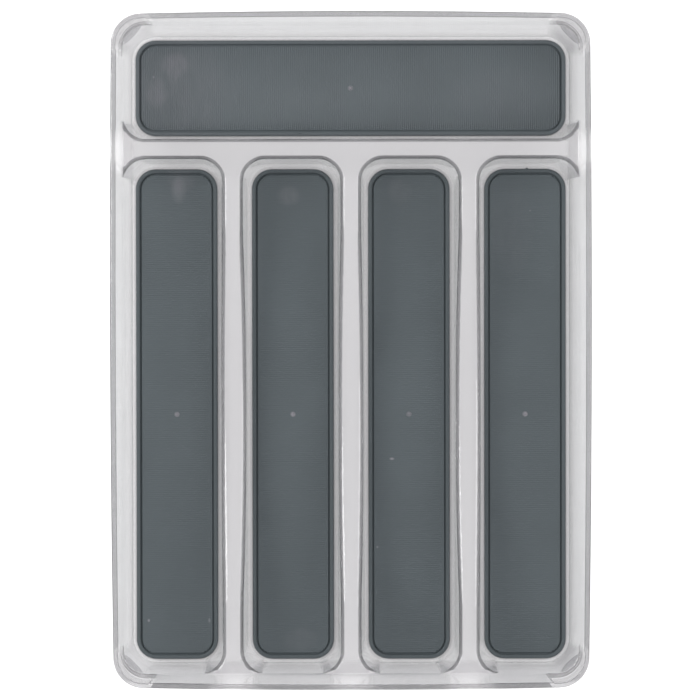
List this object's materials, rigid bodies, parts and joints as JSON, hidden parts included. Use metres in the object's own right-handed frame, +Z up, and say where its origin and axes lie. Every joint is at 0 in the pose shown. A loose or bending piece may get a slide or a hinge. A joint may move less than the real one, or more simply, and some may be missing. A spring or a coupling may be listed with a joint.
{
  "type": "cutlery tray",
  "caption": "Clear moulded cutlery tray with one cross pocket, long pockets with dipped dividers, soft ribbed liners on the pocket floors and soft feet.",
  "frame": {"origin": "under the middle of the tray, on the surface that the feet stand on", "axes": "+X to the right across the long pockets, +Y from the open front end towards the cross pocket, +Z up"},
  "size_m": [0.2318, 0.3266, 0.0475],
  "materials": {
    "clear_plastic": "colourless clear injection-moulded plastic, polished on both sides",
    "soft_grip": "soft matt thermoplastic rubber with fine ribs across the pocket",
    "foot_rubber": "soft matt rubber"
  },
  "bodies": {
    "root": {"tray_body": "clear_plastic", "liner_cross": "soft_grip", "liner_long_1": "soft_grip", "liner_long_2": "soft_grip", "liner_long_3": "soft_grip", "liner_long_4": "soft_grip", "foot_1": "foot_rubber", "foot_2": "foot_rubber", "foot_3": "foot_rubber", "foot_4": "foot_rubber"}
  },
  "joints": []
}
